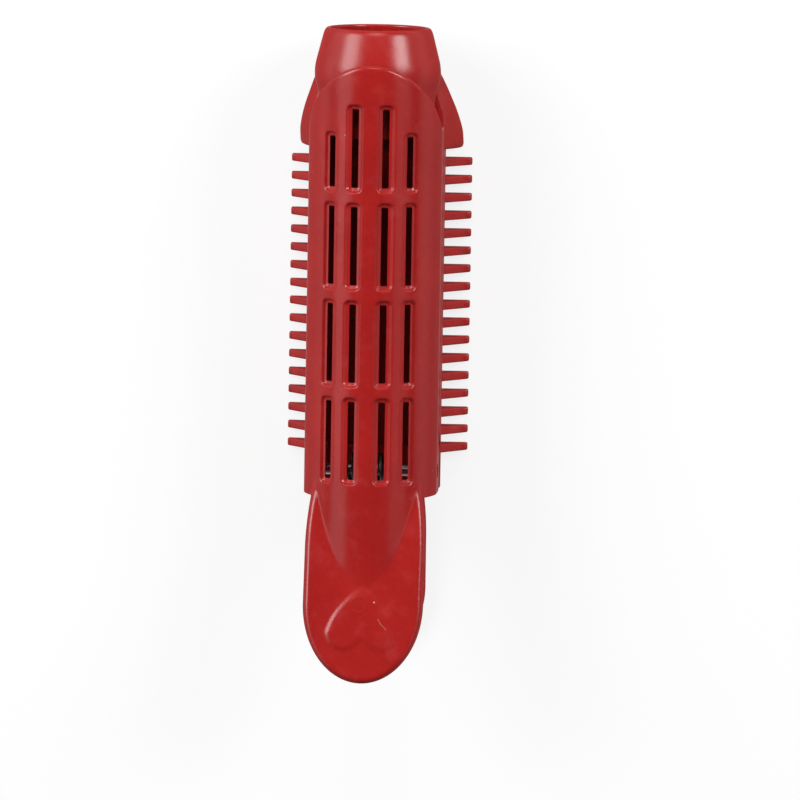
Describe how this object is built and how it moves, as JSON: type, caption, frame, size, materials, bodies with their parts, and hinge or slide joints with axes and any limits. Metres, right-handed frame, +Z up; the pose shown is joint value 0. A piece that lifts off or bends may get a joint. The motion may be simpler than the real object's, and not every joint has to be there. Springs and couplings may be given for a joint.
{
  "type": "duckbill hair clip",
  "caption": "Spring-loaded root-lift hair clip: slotted half-round cover jaw with thumb tab over a comb roller jaw with open collar, wings and side teeth.",
  "frame": {"origin": "on the table, under the middle of the clip's overall length and width", "axes": "+X across the clip, +Y along it from the thumb tabs towards the open collar, +Z up through the slotted cover"},
  "size_m": [0.0296, 0.105, 0.0274],
  "materials": {
    "cover_plastic": "satin dark red, moulded",
    "comb_plastic": "satin dark red, moulded",
    "pin_steel": "bright drawn steel",
    "spring_steel": "spring wire"
  },
  "bodies": {
    "comb": {"comb_jaw": "comb_plastic", "hinge_pin": "pin_steel", "closing_spring": "spring_steel"},
    "cover": {"cover_jaw": "cover_plastic"}
  },
  "joints": [
    {"name": "jaw_hinge", "type": "hinge", "parent": "comb", "child": "cover", "pos_m": [0, -0.0195, 0.0116], "axis": [1, 0, 0], "range_deg": [0, 34], "stiffness_Nm_per_rad": 0.1, "springref_deg": -45.84, "deforming": ["closing_spring"]}
  ]
}
